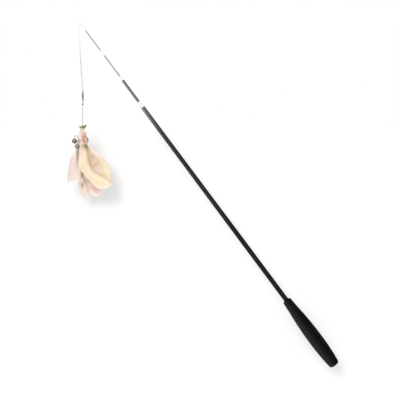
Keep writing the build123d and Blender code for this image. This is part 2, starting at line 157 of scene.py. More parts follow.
cotton = addNode(tree, "ShaderNodeBsdfPrincipled", {
    "Base Color": paledTop, "Roughness": cordLook["roughness"], "Specular IOR Level": cordLook["specular"],
    "Normal": bump})
addNode(tree, "ShaderNodeOutputMaterial", {"Surface": cotton})

# strands laid round a curve: each copy of the spline is moved out along a helix and given a round profile
laidCord = bpy.data.node_groups.new("laidCord", "GeometryNodeTree")
cordSockets = {}
for socketName, kind in (("Geometry", "Geometry"), ("Strands", "Int"), ("Strand radius", "Float"),
                         ("Lay radius", "Float"), ("Pitch", "Float"), ("Step", "Float"),
                         ("Material", "Material")):
    socket = laidCord.interface.new_socket(name=socketName, in_out="INPUT", socket_type="NodeSocket" + kind)
    cordSockets[socketName] = socket.identifier
laidCord.interface.new_socket(name="Geometry", in_out="OUTPUT", socket_type="NodeSocketGeometry")
given = addNode(laidCord, "NodeGroupInput").outputs
fine = addNode(laidCord, "GeometryNodeResampleCurve", {"Curve": given["Geometry"], "Length": given["Step"]},
               mode="LENGTH")
copies = addNode(laidCord, "GeometryNodeDuplicateElements", {"Geometry": fine, "Amount": given["Strands"]},
                 domain="SPLINE")
alongCord = addNode(laidCord, "GeometryNodeSplineParameter")
tangent = addNode(laidCord, "GeometryNodeInputTangent")
normal = addNode(laidCord, "GeometryNodeInputNormal")
side = addNode(laidCord, "ShaderNodeVectorMath", {0: tangent, 1: normal}, operation="CROSS_PRODUCT")
turns = addNode(laidCord, "ShaderNodeMath", {0: alongCord.outputs["Length"], 1: given["Pitch"]},
                operation="DIVIDE")
share = addNode(laidCord, "ShaderNodeMath", {0: copies.outputs["Duplicate Index"], 1: given["Strands"]},
                operation="DIVIDE")
turned = addNode(laidCord, "ShaderNodeMath", {0: turns, 1: share}, operation="ADD")
angle = addNode(laidCord, "ShaderNodeMath", {0: turned, 1: fullTurn}, operation="MULTIPLY")
cosine = addNode(laidCord, "ShaderNodeMath", {0: angle}, operation="COSINE")
sine = addNode(laidCord, "ShaderNodeMath", {0: angle}, operation="SINE")
outwards = addNode(laidCord, "ShaderNodeVectorMath", {0: normal, "Scale": cosine}, operation="SCALE")
sideways = addNode(laidCord, "ShaderNodeVectorMath", {0: side, "Scale": sine}, operation="SCALE")
unit = addNode(laidCord, "ShaderNodeVectorMath", {0: outwards, 1: sideways}, operation="ADD")
offset = addNode(laidCord, "ShaderNodeVectorMath", {0: unit, "Scale": given["Lay radius"]}, operation="SCALE")
moved = addNode(laidCord, "GeometryNodeSetPosition", {"Geometry": copies, "Offset": offset})
profile = addNode(laidCord, "GeometryNodeCurvePrimitiveCircle",
                  {"Resolution": 8, "Radius": given["Strand radius"]}, mode="RADIUS")
strand = addNode(laidCord, "GeometryNodeCurveToMesh",
                 {"Curve": moved, "Profile Curve": profile, "Fill Caps": True})
realized = addNode(laidCord, "GeometryNodeRealizeInstances", {"Geometry": strand})
coated = addNode(laidCord, "GeometryNodeSetMaterial", {"Geometry": realized, "Material": given["Material"]})
addNode(laidCord, "NodeGroupOutput", {"Geometry": coated})


def routeCurve(name, points):
    data = bpy.data.curves.new(name, "CURVE")
    data.dimensions = "3D"
    spline = data.splines.new("NURBS")
    spline.points.add(len(points) - 1)
    for p, point in zip(spline.points, points):
        p.co = (*point, 1)
    spline.order_u = 3
    spline.use_endpoint_u = True
    spline.resolution_u = 16
    return newObject(name, data)


def lineOf(route):  # the spline's own points
    seen = route.evaluated_get(bpy.context.evaluated_depsgraph_get())
    mesh = bpy.data.meshes.new_from_object(seen)
    line = [v.co.copy() for v in mesh.vertices]
    bpy.data.meshes.remove(mesh)
    return line


def lengthOf(line):
    return sum((b - a).length for a, b in zip(line, line[1:]))


def layCord(route, name, sizes, material):
    lay = route.modifiers.new("lay", "NODES")
    lay.node_group = laidCord
    for socketName, size in sizes.items():
        lay[cordSockets[socketName]] = size
    lay[cordSockets["Material"]] = material
    return asMesh(route, name)


def hangCord(name, start, steps, sizes, material):  # the cord's mesh and the line that it follows
    route = routeCurve(name + "Route", [start + Vector(step) * mm for step in steps])
    line = lineOf(route)
    return layCord(route, name, sizes, material), line


# cords: from a knot's middle to where the cord leaves it, then steps from there, in mm
cord = dict(diameter=1.2, upperBelow=1.2, lowerBelow=1.12)
cordSizes = {"Strands": 3, "Strand radius": 0.32 * mm, "Lay radius": 0.29 * mm, "Pitch": 4.2 * mm,
             "Step": 0.5 * mm}
upperSteps = ((0, 0, 0), (0.6, 0, -26.5), (1.9, 0, -52.5), (3.7, 0, -77.5), (5.4, 0, -98))
lowerSteps = ((0, 0, 0), (-0.6, 0, -10.5), (-0.8, 0, -22.5), (-0.4, 0, -34.3))
swivel = dict(eyeDepth=3.05, knotReach=2.15, tieSlack=0.35)  # barrel's end to wire, wire to knot
tipPin, tipKnot = joints["cord_swing"], joints["cord_sway"]
topPin = joints["swivel_spin"] + up * swivel["eyeDepth"] * mm
bottomPin = joints["leader_spin"] - up * swivel["eyeDepth"] * mm
lowerKnot = bottomPin - up * swivel["knotReach"] * mm
lureTop = joints["lure_tilt"]
budFoot = Vector((lureTop.x, lureTop.y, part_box("bud")[0][2]))

upperStart = tipKnot - up * cord["upperBelow"] * mm
lowerStart = lowerKnot - up * cord["lowerBelow"] * mm
upperCord, upperLine = hangCord("upperCord", upperStart, upperSteps, cordSizes, twistedCotton)
lowerCord, lowerLine = hangCord("lowerCord", lowerStart, lowerSteps, cordSizes, twistedCotton)
print("cords laid:", round(lengthOf(upperLine) / mm, 1), round(lengthOf(lowerLine) / mm, 1), "mm")

# tied loops: round the wire, back to the knot, then a few turns about the standing part and a short end
tieSizes = {"Strands": 3, "Strand radius": 0.28 * mm, "Lay radius": 0.26 * mm, "Pitch": 3.6 * mm,
            "Step": 0.3 * mm}
tie = dict(loopRadius=1.4, loose=1.03, loopFrom=28, loopSweep=304, loopPoints=11, lift=0.25, knotSink=0.4,
           standing=0.7, wrapRadius=0.56, wrapTurns=2.5, wrapRise=0.95, wrapBelow=0.45, wrapPoints=10,
           endOut=0.55, endRise=0.25, tipSlack=0.3)  # mm and degrees


def tiedLoop(name, pin, slack, towards, normal):
    across = normal.cross(towards)
    centre = pin + towards * slack * mm
    knot = centre + towards * (tie["loopRadius"] + tie["knotSink"]) * mm
    points = [knot + towards * tie["standing"] * mm, knot]
    for i in range(tie["loopPoints"]):
        a = math.radians(tie["loopFrom"] + tie["loopSweep"] * i / (tie["loopPoints"] - 1))
        ring = (towards * math.cos(a) + across * math.sin(a)) * tie["loopRadius"] * tie["loose"]
        lift = tie["lift"] * math.cos(a / 2)
        points.append(centre + ring * mm + normal * lift * mm)
    steps = int(tie["wrapTurns"] * tie["wrapPoints"])
    for i in range(steps + 1):
        a = fullTurn * tie["wrapTurns"] * i / steps
        rise = tie["wrapRise"] * (i / steps - tie["wrapBelow"])
        ring = (across * -math.cos(a) + normal * math.sin(a)) * tie["wrapRadius"]
        points.append(knot + ring * mm + towards * rise * mm)
    last = points[-1]
    points.append(last + (last - knot) * tie["endOut"] + towards * tie["endRise"] * mm)
    return layCord(routeCurve(name, points), name, tieSizes, twistedCotton)


tipLoop = tiedLoop("tipLoop", tipPin, tie["tipSlack"], -up, toViewer)
upperTie = tiedLoop("swivelTieUpper", topPin, swivel["tieSlack"], up, toRight)
lowerTie = tiedLoop("swivelTieLower", bottomPin, swivel["tieSlack"], -up, toRight)

# waxed lace: pale, with dark brown bands where the dye took; smooth and a little shiny
laceLook = dict(pale="#f1e4d2", grain=1.2, wander=2.2, fade=1.5, roughness=0.5,  # bands in mm below the bud
                bands=((3.6, 27.6, "#8d7a58"), (42.0, 51.0, "#6f5a48"), (58.6, 66.1, "#6f5a48")))
waxedLace, tree, place = newMaterial("waxedLace")
height = addNode(tree, "ShaderNodeSeparateXYZ", {0: place["Object"]})
below = addNode(tree, "ShaderNodeMath", {0: budFoot.z, 1: height.outputs["Z"]}, operation="SUBTRACT")
wax = addNode(tree, "ShaderNodeTexNoise", {"Vector": place["Object"], "Scale": 1 / (laceLook["grain"] * mm)})
wander = addNode(tree, "ShaderNodeMath", {0: wax, 1: laceLook["wander"] * mm}, operation="MULTIPLY")
depth = addNode(tree, "ShaderNodeMath", {0: below, 1: wander}, operation="ADD")
tint = linear(laceLook["pale"])
for bandTop, bandEnd, bandColour in laceLook["bands"]:
    begins = addNode(tree, "ShaderNodeMapRange", {
        "Value": depth, "From Min": bandTop * mm, "From Max": (bandTop + laceLook["fade"]) * mm})
    ends = addNode(tree, "ShaderNodeMapRange", {
        "Value": depth, "From Min": bandEnd * mm, "From Max": (bandEnd + laceLook["fade"]) * mm,
        "To Min": 1.0, "To Max": 0.0})
    inside = addNode(tree, "ShaderNodeMath", {0: begins, 1: ends}, operation="MULTIPLY")
    tint = addNode(tree, "ShaderNodeMix", {0: inside, 6: tint, 7: linear(bandColour)}, data_type="RGBA")
bump = addNode(tree, "ShaderNodeBump", {"Height": wax, "Strength": 0.4, "Distance": 0.1 * mm})
lace = addNode(tree, "ShaderNodeBsdfPrincipled", {
    "Base Color": tint, "Roughness": laceLook["roughness"], "Normal": bump})
addNode(tree, "ShaderNodeOutputMaterial", {"Surface": lace})

laceSizes = {"Strands": 2, "Strand radius": 0.42 * mm, "Lay radius": 0.36 * mm, "Pitch": 9 * mm,
             "Step": 0.5 * mm}
tailSteps = ((-2.6, -3.9, 0), (-2.6, -3.9, -5.2), (-2.2, -6.2, -14.8), (-1.2, -8.7, -30), (0, -9.0, -47),
             (0.2, -8.8, -65))  # mm from the bud's foot
tail, tailLine = hangCord("tailLace", budFoot, tailSteps, laceSizes, waxedLace)
print("ties and tail:", round(lengthOf(tailLine) / mm, 1), "mm of lace")


# the wand leans to the left, and its underside is painted greyer, to follow the soft light there in the photo
wandLean = math.radians(36.7)
wandWay = (-math.sin(wandLean), 0, math.cos(wandLean))
underWay = (-math.cos(wandLean), 0, -math.sin(wandLean))

# EVA foam rubber, moulded and skinned: near black, dull, a fine closed-cell grain and faint rubbed blotches
foamLook = dict(base="#020202", worn="#070707", under="#242425", cell=0.55, blotch=14, specular=0.05)
foamRubber, tree, place = newMaterial("foamRubber")
cells = addNode(tree, "ShaderNodeTexVoronoi", {
    "Vector": place["Object"], "Scale": 1 / (foamLook["cell"] * mm)})
rubbed = addNode(tree, "ShaderNodeTexNoise", {
    "Vector": place["Object"], "Scale": 1 / (foamLook["blotch"] * mm), "Detail": 4.0})
tone = addNode(tree, "ShaderNodeMapRange", {"Value": rubbed, "From Min": 0.35, "From Max": 0.75})
colour = addNode(tree, "ShaderNodeMix", {
    0: tone, 6: linear(foamLook["base"]), 7: linear(foamLook["worn"])}, data_type="RGBA")
# painted highlight: the foam's underside is mixed towards the under grey, where soft light falls on it
side = addNode(tree, "ShaderNodeVectorMath", {0: place["Normal"], 1: underWay}, operation="DOT_PRODUCT")
highlightSide = addNode(tree, "ShaderNodeMapRange", {"Value": side, "From Min": -0.35, "From Max": 0.95},
                      interpolation_type="SMOOTHSTEP")
withPaintedHighlight = addNode(tree, "ShaderNodeMix", {
    0: highlightSide, 6: colour, 7: linear(foamLook["under"])}, data_type="RGBA")
shine = addNode(tree, "ShaderNodeMapRange", {
    "Value": rubbed, "From Min": 0.3, "From Max": 0.7, "To Min": 0.62, "To Max": 0.48})
bump = addNode(tree, "ShaderNodeBump", {"Height": cells, "Strength": 0.35, "Distance": 0.08 * mm})
foam = addNode(tree, "ShaderNodeBsdfPrincipled", {
    "Base Color": withPaintedHighlight, "Roughness": shine, "Specular IOR Level": foamLook["specular"], "Normal": bump})
addNode(tree, "ShaderNodeOutputMaterial", {"Surface": foam})

# satin black lacquer over drawn steel tube: even, soft gloss, faint lines along the tube; greyer towards
# the tip, as in the photo, by metres from the middle of the grip
tubeLook = dict(dust="#6f7072", dusted=0.1, line=0.4, draw=18, deep=0.35, thin=1.75, specular=0.12, tones=(
    (0.06, "#0a0a0a"), (0.18, "#0b0b0b"), (0.24, "#1c1c1d"), (0.33, "#232324"), (0.35, "#282829"),
    (0.371, "#353636"), (0.394, "#4b4c4c"), (0.416, "#666766"), (0.474, "#6f706f"), (0.479, "#9c9d9b"),
    (0.52, "#a0a19f"), (0.527, "#4c4d4d"), (0.58, "#4c4d4d")))
satinLacquer, tree, place = newMaterial("satinLacquer")
station = addNode(tree, "ShaderNodeVectorMath", {0: place["Object"], 1: wandWay}, operation="DOT_PRODUCT")
grade = addNode(tree, "ShaderNodeValToRGB", {"Fac": station})
stops = grade.color_ramp.elements
for i, (at, code) in enumerate(tubeLook["tones"]):
    stop = stops[i] if i < 2 else stops.new(at)  # a new ramp has two stops
    stop.position = at
    stop.color = linear(code)
lineScale, drawScale = 1 / (tubeLook["line"] * mm), 1 / (tubeLook["draw"] * mm)
turned = addNode(tree, "ShaderNodeMapping", {
    "Vector": place["Object"], "Rotation": (0, wandLean, 0), "Scale": (lineScale, lineScale, drawScale)})
drawn = addNode(tree, "ShaderNodeTexNoise", {"Vector": turned, "Scale": 1.0, "Detail": 3.0})
specks = addNode(tree, "ShaderNodeMapRange", {
    "Value": drawn, "From Min": 0.55, "From Max": 0.8, "To Max": tubeLook["dusted"]})
# painted light and shade: the tube's underside is scaled lighter by thin, the far side darker by deep
side = addNode(tree, "ShaderNodeVectorMath", {0: place["Normal"], 1: underWay}, operation="DOT_PRODUCT")
paintedSideLight = addNode(tree, "ShaderNodeMapRange", {
    "Value": side, "From Min": -0.6, "From Max": 0.9, "To Min": tubeLook["deep"], "To Max": tubeLook["thin"]})
toned = addNode(tree, "ShaderNodeVectorMath", {0: grade, "Scale": paintedSideLight}, operation="SCALE")
dusted = addNode(tree, "ShaderNodeMix", {0: specks, 6: toned, 7: linear(tubeLook["dust"])}, data_type="RGBA")
shine = addNode(tree, "ShaderNodeMapRange", {"Value": drawn, "To Min": 0.34, "To Max": 0.5})
bump = addNode(tree, "ShaderNodeBump", {"Height": drawn, "Strength": 0.2, "Distance": 0.02 * mm})
lacquer = addNode(tree, "ShaderNodeBsdfPrincipled", {
    "Base Color": dusted, "Roughness": shine, "Specular IOR Level": tubeLook["specular"], "Normal": bump})
addNode(tree, "ShaderNodeOutputMaterial", {"Surface": lacquer})

# turned and plated metals: fine rings round the wand's axis from the lathe, smudged roughness
smudgeSize = 1.6  # mm
platedLooks = dict(
    chromePlate=dict(base="#f6f6f7", shade="#e2e3e5", metallic=1.0, low=0.14, high=0.3, ring=0.25),
    bareBrass=dict(base="#c9a45c", shade="#a07f40", metallic=1.0, low=0.25, high=0.42, ring=0.3),
    blackSteel=dict(base="#48464a", shade="#29282b", metallic=0.75, low=0.3, high=0.5, ring=0.3),
    steelWire=dict(base="#dcd8d6", shade="#bdb9b8", metallic=1.0, low=0.2, high=0.4, ring=0.3))
plated = {}
for finish, look in platedLooks.items():
    plated[finish], tree, place = newMaterial(finish)
    station = addNode(tree, "ShaderNodeVectorMath", {0: place["Object"], 1: wandWay}, operation="DOT_PRODUCT")
    rings = addNode(tree, "ShaderNodeMath", {0: station, 1: fullTurn / (look["ring"] * mm)},
                    operation="MULTIPLY")
    ridge = addNode(tree, "ShaderNodeMath", {0: rings}, operation="SINE")
    smudge = addNode(tree, "ShaderNodeTexNoise", {
        "Vector": place["Object"], "Scale": 1 / (smudgeSize * mm), "Detail": 4.0})
    colour = addNode(tree, "ShaderNodeMix", {
        0: smudge, 6: linear(look["base"]), 7: linear(look["shade"])}, data_type="RGBA")
    shine = addNode(tree, "ShaderNodeMapRange", {
        "Value": smudge, "From Min": 0.3, "From Max": 0.7, "To Min": look["low"], "To Max": look["high"]})
    bump = addNode(tree, "ShaderNodeBump", {"Height": ridge, "Strength": 0.25, "Distance": 0.01 * mm})
    metal = addNode(tree, "ShaderNodeBsdfPrincipled", {
        "Base Color": colour, "Metallic": look["metallic"], "Roughness": shine, "Normal": bump})
    addNode(tree, "ShaderNodeOutputMaterial", {"Surface": metal})

# moulded ABS plug: black, slightly rough
plugLook = dict(base="#151516", grain=0.6)
mouldedAbs, tree, place = newMaterial("mouldedAbs")
grain = addNode(tree, "ShaderNodeTexNoise", {
    "Vector": place["Object"], "Scale": 1 / (plugLook["grain"] * mm)})
shine = addNode(tree, "ShaderNodeMapRange", {"Value": grain, "To Min": 0.4, "To Max": 0.6})
bump = addNode(tree, "ShaderNodeBump", {"Height": grain, "Strength": 0.2, "Distance": 0.03 * mm})
plug = addNode(tree, "ShaderNodeBsdfPrincipled", {
    "Base Color": linear(plugLook["base"]), "Roughness": shine, "Normal": bump})
addNode(tree, "ShaderNodeOutputMaterial", {"Surface": plug})

# baked lacquer on pressed brass bells: dusky mauve, glossy, rubbed paler in small patches
bellLook = dict(base="#8c7f82", deep="#5f5456", rubbed="#c8bfc0", patch=2.6, metallic=0.4, coat=0.2)
mauveLacquer, tree, place = newMaterial("mauveLacquer")
patches = addNode(tree, "ShaderNodeTexNoise", {
    "Vector": place["Object"], "Scale": 1 / (bellLook["patch"] * mm), "Detail": 5.0})
tone = addNode(tree, "ShaderNodeMapRange", {"Value": patches, "From Min": 0.35, "From Max": 0.62})
deep = addNode(tree, "ShaderNodeMix", {
    0: tone, 6: linear(bellLook["deep"]), 7: linear(bellLook["base"])}, data_type="RGBA")
wear = addNode(tree, "ShaderNodeMapRange", {"Value": patches, "From Min": 0.6, "From Max": 0.68})
colour = addNode(tree, "ShaderNodeMix", {0: wear, 6: deep, 7: linear(bellLook["rubbed"])}, data_type="RGBA")
shine = addNode(tree, "ShaderNodeMapRange", {"Value": patches, "To Min": 0.16, "To Max": 0.4})
bell = addNode(tree, "ShaderNodeBsdfPrincipled", {
    "Base Color": colour, "Metallic": bellLook["metallic"], "Roughness": shine,
    "Coat Weight": bellLook["coat"]})
addNode(tree, "ShaderNodeOutputMaterial", {"Surface": bell})

finishes = {
    foamRubber: ("grip",),
    satinLacquer: ("main_tube", "second_tube", "third_tube", "tip_rod"),
    plated["chromePlate"]: ("main_collar", "second_collar", "third_collar", "tip_eye"),
    plated["bareBrass"]: ("second_bush", "third_bush", "tip_bush"),
    mouldedAbs: ("butt_plug",),
    plated["blackSteel"]: ("swivel_barrel", "swivel_top_eye", "swivel_bottom_eye", "cord_crimp"),
    mauveLacquer: ("bell_large_shell", "bell_small_shell"),
    plated["steelWire"]: ("bell_large_eye", "bell_small_eye", "bell_large_pea", "bell_small_pea",
                          "bell_pin_large", "bell_pin_small")}
for finish, names in finishes.items():
    for name in names:
        node = frame["nodes"][name]
        for slot in node.material_slots:
            slot.material = finish
        if not node.material_slots:
            node.data.materials.append(finish)
print("hard finishes on", sum(len(names) for names in finishes.values()), "nodes")


def dyedAndShaded(points, base, blots):  # dye and painted shade, in blots: x right of the lure's axis and d below the bud's foot, in mm
    colours = np.tile(np.array(linear(base)), (len(points), 1))
    x = (points[:, 0] - budFoot.x) / mm
    d = (budFoot.z - points[:, 2]) / mm
    for blotX, blotD, length, width, tilt, code, strength in blots:
        c, s = math.cos(math.radians(tilt)), math.sin(math.radians(tilt))
        a = ((x - blotX) * c + (d - blotD) * s) / length
        b = (-(x - blotX) * s + (d - blotD) * c) / width
        w = (strength * np.exp(-(a * a + b * b)))[:, None]
        colours = colours * (1 - w) + np.array(linear(code)) * w
    return colours


def gridMesh(name, points, rows, columns, closed=False, capped=False):
    # points row by row; closed joins the last column to the first, capped fans to the last two points
    faces = []
    for r in range(rows - 1):
        for c in range(columns if closed else columns - 1):
            n = (c + 1) % columns
            faces.append((r * columns + c, r * columns + n, (r + 1) * columns + n, (r + 1) * columns + c))
    if capped:
        lastRow, foot, crown = (rows - 1) * columns, rows * columns, rows * columns + 1
        for c in range(columns):
            n = (c + 1) % columns
            faces += [(n, c, foot), (lastRow + c, lastRow + n, crown)]
    mesh = bpy.data.meshes.new(name)
    mesh.from_pydata([tuple(p) for p in points], [], faces)
    mesh.update()
    return mesh


def paint(mesh, colours):
    layer = mesh.attributes.new("dyeAndShade", "FLOAT_COLOR", "POINT")
    layer.data.foreach_set("color", np.ascontiguousarray(colours, dtype=np.float32).ravel())


# sheer silk habotai: thin plain weave that lets light through, soft sheen; threads drawn coarse so they show
silkLook = dict(thread=0.6, mottle=7.0, through=0.42, sheer=0.06, roughness=0.55, sheen=0.2,
                sheenRoughness=0.35, specular=0.35)
sheerSilk, tree, place = newMaterial("sheerSilk")
dyeAndShade = addNode(tree, "ShaderNodeAttribute", attribute_name="dyeAndShade")
cut = addNode(tree, "ShaderNodeSeparateXYZ", {0: place["UV"]})
threads = []
for axis in ("X", "Y"):
    counted = addNode(tree, "ShaderNodeMath", {0: cut.outputs[axis], 1: fullTurn / (silkLook["thread"] * mm)},
                      operation="MULTIPLY")
    threads.append(addNode(tree, "ShaderNodeMath", {0: counted}, operation="SINE"))
weave = addNode(tree, "ShaderNodeMath", {0: threads[0], 1: threads[1]}, operation="MULTIPLY")
mottle = addNode(tree, "ShaderNodeTexNoise", {
    "Vector": place["Object"], "Scale": 1 / (silkLook["mottle"] * mm), "Detail": 4.0})
tone = addNode(tree, "ShaderNodeMapRange", {
    "Value": mottle, "From Min": 0.3, "From Max": 0.7, "To Min": 0.95, "To Max": 1.03})
washed = addNode(tree, "ShaderNodeVectorMath", {0: dyeAndShade, "Scale": tone}, operation="SCALE")
bump = addNode(tree, "ShaderNodeBump", {"Height": weave, "Strength": 0.15, "Distance": 0.05 * mm})
silk = addNode(tree, "ShaderNodeBsdfPrincipled", {
    "Base Color": washed, "Roughness": silkLook["roughness"], "Sheen Weight": silkLook["sheen"],
    "Sheen Roughness": silkLook["sheenRoughness"], "Specular IOR Level": silkLook["specular"],
    "Normal": bump})
glow = addNode(tree, "ShaderNodeBsdfTranslucent", {"Color": washed, "Normal": bump})
lit = addNode(tree, "ShaderNodeMixShader", {0: silkLook["through"], 1: silk, 2: glow})
clear = addNode(tree, "ShaderNodeBsdfTransparent")
sheer = addNode(tree, "ShaderNodeMixShader", {0: silkLook["sheer"], 1: lit, 2: clear})
addNode(tree, "ShaderNodeOutputMaterial", {"Surface": sheer})

# the same silk where it is layered and bound: no light comes through
boundLook = dict(mottle=2.5, thread=0.4, roughness=0.68, sheen=0.2, sheenRoughness=0.4, subsurface=0.15,
                 depth=(0.6 * mm, 0.4 * mm, 0.3 * mm))
boundSilk, tree, place = newMaterial("boundSilk")
dyeAndShade = addNode(tree, "ShaderNodeAttribute", attribute_name="dyeAndShade")
mottle = addNode(tree, "ShaderNodeTexNoise", {
    "Vector": place["Object"], "Scale": 1 / (boundLook["mottle"] * mm), "Detail": 4.0})
tone = addNode(tree, "ShaderNodeMapRange", {
    "Value": mottle, "From Min": 0.3, "From Max": 0.7, "To Min": 0.82, "To Max": 1.06})
washed = addNode(tree, "ShaderNodeVectorMath", {0: dyeAndShade, "Scale": tone}, operation="SCALE")
thread = addNode(tree, "ShaderNodeTexNoise", {
    "Vector": place["Object"], "Scale": 1 / (boundLook["thread"] * mm)})
bump = addNode(tree, "ShaderNodeBump", {"Height": thread, "Strength": 0.35, "Distance": 0.08 * mm})
silk = addNode(tree, "ShaderNodeBsdfPrincipled", {
    "Base Color": washed, "Roughness": boundLook["roughness"], "Sheen Weight": boundLook["sheen"],
    "Sheen Roughness": boundLook["sheenRoughness"], "Subsurface Weight": boundLook["subsurface"],
    "Subsurface Radius": boundLook["depth"], "Normal": bump})
addNode(tree, "ShaderNodeOutputMaterial", {"Surface": silk})

# petals: gathered at the root inside the bud, opening into flutes, with a wavy, paler hem
thinDye, clothTone = 0.62, 0.975  # light passes the cloth about twice, so the dye is paler than it looks
petalCut = dict(root=3.0, stations=(0, 0.2, 0.42, 0.62, 0.8, 1.0), opened=(0.06, 0.35, 0.8, 0.95, 1.0, 1.0),
                rows=90, columns=72, thickness=0.7, cloth=0.16, hem="#fdf8f0", hemDepth=3.2, hemPale=0.85,
                hemTries=12, drift=0.05, driftWaves=1.1, foldWaves=0.75, ruffled=(0.55, 1.0), twist=1.2,
                twistRate=3)
petalWaves = dict(  # depth in mm, waves in half the width, shift in phases, where down the petal they begin
    pleats=dict(depth=0.2, count=3.5, shift=1, over=(0.32, 0.06)),
    flutes=dict(depth=0.28, count=1.4, shift=2, over=(0.15, 0.5)),
    crimp=dict(depth=0.1, count=6, shift=3, over=(0.85, 1.0)),
    fray=dict(depth=0.35, count=5.5, shift=1, over=(0.9, 1.0)))
petals = dict(
    petal_front=dict(
        fan=20, length=75, halfWidth=20, neckLie=5.7, hemLie=15, cup=5, fold=1.2, wrap=(2, -6),
        ruffle=0.8, waves=2.3, phase=0.4, slot="petal_peach",
        left=(0.18, 0.48, 0.82, 0.62, 0.66, 0.7), right=(0.18, 0.12, 0, 0.12, 0.7, 1.2),
        hem=((-1.1, 0.6), (-0.45, 0.7), (-0.1, 0.89), (0.45, 0.99), (1.35, 0.93)),
        base="#fbe7cc", blots=(
            # the khaki patch and the dark brown line at the root, under the bud, are painted shade
            (0.6, 9, 14, 6, 85, "#fbe6cb", 0.6), (2.4, 3, 6.5, 2.6, 70, "#b9a970", 0.9),
            (4.5, 3.4, 5, 1.0, 70, "#574729", 0.9), (7.6, 26, 13, 2.6, 83, "#fad9a8", 0.85),
            (2.2, 37, 10, 6, 70, "#f7e6c3", 0.6), (22.3, 57, 14, 6, 14, "#f5e5b4", 0.85),
            (38.4, 57, 8, 6, 0, "#f9ecd2", 0.8))),
    petal_left=dict(
        fan=-11, length=64, halfWidth=12.5, neckLie=1.9, hemLie=8, cup=3, fold=1.2, wrap=(-8, 1.5),
        ruffle=0.55, waves=1.7, phase=1.7, slot="petal_pink",
        left=(0.34, 0.65, 1.05, 1.1, 1.03, 0.94), right=(0.3, 0.42, 0.6, 0.68, 0.72, 0.74),
        hem=((-1.3, 1.0), (-0.6, 0.94), (0, 0.865), (0.4, 0.88), (1.2, 0.93)),
        base="#eddad0", blots=(
            (-14, 13, 7, 4, 75, "#f4f0dc", 0.8), (-16, 27, 9, 5, 65, "#e8cdca", 0.8),
            (-18.7, 27, 6, 3, 75, "#e2c7cc", 0.6), (-13, 38, 10, 6, 60, "#efd6cd", 0.8),
            (-7.3, 20, 10, 1.8, 88, "#a97f63", 0.85), (-7, 12.5, 4.5, 1.6, 88, "#6d6642", 0.85),
            (-12, 47, 9, 5, 0, "#f0dcd2", 0.6))),
    petal_right=dict(
        fan=29.5, length=76, halfWidth=15, neckLie=0.5, hemLie=2, cup=-3.5, fold=1.3, wrap=(2, -9),
        ruffle=0.8, waves=2.2, phase=0.9, slot="petal_yellow",
        left=(0.27, 0.4, 0.65, 0.75, 0.75, 0.65), right=(0.3, 0.62, 1.08, 1.2, 1.08, 0.5),
        hem=((-1.1, 0.87), (-0.45, 0.94), (-0.1, 0.945), (0.4, 0.99), (1.25, 0.82)),
        base="#eed8bd", blots=(
            # the dark brown at the root is painted shade under the bud; the tan and brown inside the cup,
            # with its darker arc, are dye deepened by painted shade
            (13.5, 8, 9, 3.2, 50, "#fffaf4", 0.9), (6.6, 3.4, 5.5, 1.7, 62, "#574729", 0.95),
            (23, 16.5, 9, 3.4, 52, "#fbeadd", 0.85), (11, 13, 8, 4.5, 55, "#e2cd98", 0.85),
            (18.3, 23.4, 9, 6, 60, "#e4c8ac", 0.8), (11, 30.6, 12, 4, 80, "#e3bf92", 0.9),
            (13, 39, 4, 3, 0, "#e6c198", 0.7), (14.2, 18.2, 1.4, 1.2, 0, "#8a6a44", 0.9),
            (19, 30.3, 5.5, 1.3, -35, "#b98f72", 0.85), (21.5, 37.9, 6.5, 5, 60, "#f4d3cc", 0.95),
            (27, 45.9, 8, 5, 20, "#e8cf9b", 0.85), (34.3, 34.7, 11, 5, 75, "#f2e3ae", 0.85),
            (38.4, 41, 9, 4, 78, "#faf0d4", 0.8))),
    petal_back=dict(
        fan=10, length=82, halfWidth=16, neckLie=-0.9, hemLie=-9.5, cup=-2.5, fold=1.4, wrap=(-3, 3),
        ruffle=0.8, waves=2.0, phase=2.3, slot="petal_rose",
        left=(0.24, 0.38, 0.76, 1.0, 1.04, 0.86), right=(0.24, 0.38, 0.72, 0.95, 1.08, 1.1),
        hem=((-1.2, 0.9), (-0.8, 0.975), (-0.45, 0.985), (-0.22, 0.91), (0.38, 0.985), (1.15, 0.87)),
        base="#f2ddd2", blots=(
            (3, 54.8, 8, 5, 20, "#dcc4b4", 0.75), (11, 55.6, 7, 4, 30, "#e6c4b4", 0.7),
            # the deep pink stripe is pink dye deepened by painted shade inside the petal
            (16.3, 66.5, 9.5, 2.8, 38, "#e3aca6", 0.9), (14.2, 73.3, 8, 3, 30, "#f8ecdf", 0.7),
            (3.8, 74.9, 6, 6, 0, "#eedccb", 0.8))),
    petal_rear_left=dict(
        fan=-8, length=52, halfWidth=12, neckLie=-2.3, hemLie=-13, cup=-1.6, fold=1.0, wrap=(5, -1),
        ruffle=0.8, waves=2.2, phase=3.1, slot="petal_pink",
        left=(0.3, 0.5, 0.88, 0.98, 0.95, 0.85), right=(0.3, 0.5, 0.78, 0.86, 0.86, 0.8),
        hem=((-1.3, 0.9), (-0.5, 0.99), (0, 0.94), (0.5, 1.0), (1.3, 0.92)),
        base="#f1e2d8", blots=((-8, 27, 12, 5, 80, "#ecd2cd", 0.8), (-4, 45, 9, 6, 0, "#f3e6da", 0.7))),
    petal_rear_right=dict(
        fan=23, length=62, halfWidth=13, neckLie=-4.1, hemLie=-20, cup=-3, fold=1.4, wrap=(1, 8),
        ruffle=0.9, waves=2.4, phase=4.2, slot="petal_yellow",
        left=(0.26, 0.45, 0.74, 0.85, 0.87, 0.8), right=(0.26, 0.45, 0.83, 0.95, 0.96, 0.8),
        hem=((-1.2, 0.88), (-0.5, 0.98), (0, 0.95), (0.5, 1.0), (1.2, 0.88)),
        base="#f2e6cc", blots=(
            (16, 27, 12, 5, 68, "#ead2ae", 0.8), (26, 44, 9, 6, 60, "#f3dcd2", 0.7),
            (32, 37, 10, 4, 68, "#f5eac4", 0.8))))


